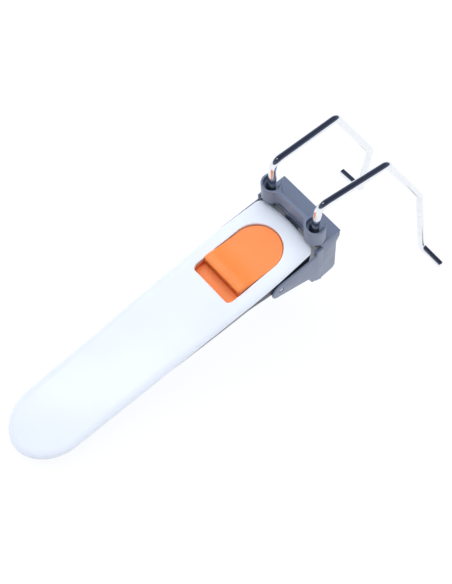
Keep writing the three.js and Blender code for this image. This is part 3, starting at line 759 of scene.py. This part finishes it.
def return_spring():
    """The helix between the guide pin's boss and the slide's tab."""
    share = np.linspace(0, 1, 16 * SPRING_TURNS + 1)
    turn = 2 * math.pi * SPRING_TURNS * share
    y = SPRING_Y[0] + (SPRING_Y[1] - SPRING_Y[0]) * share
    path = np.c_[SPRING_COIL * np.sin(turn), y, SPRING_Z + SPRING_COIL * np.cos(turn)]
    return tube(path, SPRING_WIRE, sides=8)


def pivot_pin(side):
    profile = [(PIN - 0.2, 15.2), (PIN, 15.4), (PIN, EAR_OUT - 0.35), (PIN - 0.25, EAR_OUT - 0.1)]
    if side < 0:
        profile = [(r, -h) for r, h in reversed(profile)]
    return lathe(profile, (0, PIVOT.y, PIVOT.z), "X", 36)


# ---------------------------------------------------------------- pieces
SIDES = (("left", -1), ("right", 1))
place(cover(), "grip_cover", WHITE, "grip", ["handle_top_shell"])
# the lower shell takes the near-black material that paints the shade in the slot by the ears and under the
# cover's lip
place(lower_shell(), "grip_lower_shell", UNDERSIDE_PAINTED_SHADE, "grip", ["handle_bottom_shell"])
place(thumb_slide(), "thumb_slide", ORANGE, "latch", ["thumb_slider"])
place(bracket(), "hinge_bracket", GREY, "bracket", ["bracket_body"])
place(bracket_cap(), "wire_clamp_cap", GREY, "bracket", ["bracket_cap"])
for word, sign in SIDES:
    place(wire(sign), "hook_wire_" + word, CHROME, "bracket", ["wire_arm_" + word])
    place(pivot_pin(sign), "hinge_pin_" + word, STEEL, "grip", ["pivot_pin_" + word])
    made = screw(sign * CAP_SCREW[0], CAP_SCREW[1], -12.3, -3.5, 2.1, 1.5, 1.0)
    place(made, "clamp_screw_" + word, STEEL, "bracket", ["cap_screw_" + word])
for word, (x, y) in SHELL_SCREWS.items():
    made = screw(x, y, SEAT_Z, -4.6, 2.7, 1.6, 1.1)
    place(made, "grip_screw_" + word, STEEL, "grip", ["shell_screw_" + word])

spring = place(return_spring(), "slide_spring", STEEL, "grip", ["return_spring"])
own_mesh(spring)

CARRIED = {
    "pivot_bush": NYLON, "slide_rail": NYLON, "rail_screw": STEEL, "spring_guide": STEEL,
    "latch_bolt": STEEL, "bolt_screw": STEEL,
}
for node, obj in NODES.items():
    for start, material in CARRIED.items():
        if node.startswith(start):
            obj.data.materials.clear()
            obj.data.materials.append(material)

# ---------------------------------------------------------------- floor, light and camera
floor_mesh = bpy.data.meshes.new("floor")
reach = 3.0
corners = [(-reach, -reach, 0), (reach, -reach, 0), (reach, reach, 0), (-reach, reach, 0)]
floor_mesh.from_pydata(corners, [], [(0, 1, 2, 3)])
floor = bpy.data.objects.new("floor", floor_mesh)
floor.location.z = -0.0001
SCENE.collection.objects.link(floor)
paper, tree, shader = new_material(
    "paper_floor", Roughness=0.9, Emission_Color=(0.97, 0.985, 1.0, 1.0), Emission_Strength=0.95
)
tone = ramp(tree, noise(tree, 5.0), [(0.3, (0.1, 0.1, 0.11)), (0.7, (0.12, 0.12, 0.13))])
tree.links.new(tone, shader.inputs["Base Color"])
shader.inputs["Specular IOR Level"].default_value = 0.1
floor_mesh.materials.append(paper)

world = bpy.data.worlds.new("studio")
world.use_nodes = True
SCENE.world = world
tree = world.node_tree
background = tree.nodes["Background"]
coords = tree.nodes.new("ShaderNodeTexCoord")
split = tree.nodes.new("ShaderNodeSeparateXYZ")
tree.links.new(coords.outputs["Generated"], split.inputs["Vector"])
lift = add_node(tree, "ShaderNodeMapRange")
lift.inputs["From Min"].default_value = -1
lift.inputs["From Max"].default_value = 1
tree.links.new(split.outputs["Z"], lift.inputs["Value"])
sky = ramp(tree, lift.outputs["Result"], [
    (0.0, (0.93, 0.95, 1.0)), (0.5, (1.0, 1.0, 1.0)), (0.54, (0.9, 0.93, 1.0)), (0.6, (0.1, 0.12, 0.18)),
    (1.0, (0.025, 0.03, 0.055)),
])
tree.links.new(sky, background.inputs["Color"])
background.inputs["Strength"].default_value = 1.1


def softbox(name, at, target, size, power, colour=(1, 1, 1), glossy=True):
    data = bpy.data.lights.new(name, "AREA")
    data.shape = "RECTANGLE"
    data.size, data.size_y = size
    data.energy = power
    data.color = colour
    lamp = bpy.data.objects.new(name, data)
    lamp.location = at
    lamp.rotation_euler = (Vector(target) - Vector(at)).to_track_quat("-Z", "Y").to_euler()
    lamp.visible_glossy = glossy
    SCENE.collection.objects.link(lamp)


softbox("overhead", (-0.2, -0.2, 0.9), (0, -0.02, 0.03), (1.2, 1.2), 13.0, (0.93, 0.965, 1.0), glossy=False)
gleam_at, free_end = TO_ROW @ Vector((-295, 10, 811)), TO_ROW @ Vector((-4, -72, 0))
softbox("gleam", gleam_at, free_end, (0.1, 0.24), 0.12)
softbox("side", (0.8, 0.3, 0.35), (0, 0, 0.04), (0.9, 0.6), 2.5, (1.0, 0.99, 0.98), glossy=False)

LENS = 77.4
CAMERA_AT = Vector((197.12, -128.40, 540.73))
CAMERA_AHEAD = Vector((-0.3225, 0.2241, -0.9197)).normalized()
CAMERA_RIGHT = Vector((0.6583, 0.7512, -0.0478))
right = (CAMERA_RIGHT - CAMERA_AHEAD * CAMERA_RIGHT.dot(CAMERA_AHEAD)).normalized()
up = right.cross(CAMERA_AHEAD)
axes = Matrix((right, up, -CAMERA_AHEAD)).transposed()
camera_data = bpy.data.cameras.new("camera")
camera_data.lens = LENS
camera_data.sensor_fit = "VERTICAL"
camera_data.sensor_height = 36.0
camera_data.clip_start = 0.01
camera = bpy.data.objects.new("camera", camera_data)
camera.matrix_world = Matrix.Translation(TO_ROW @ CAMERA_AT) @ (TURN.to_3x3() @ axes).to_4x4()
SCENE.collection.objects.link(camera)
SCENE.camera = camera
SCENE.view_settings.view_transform = "Standard"
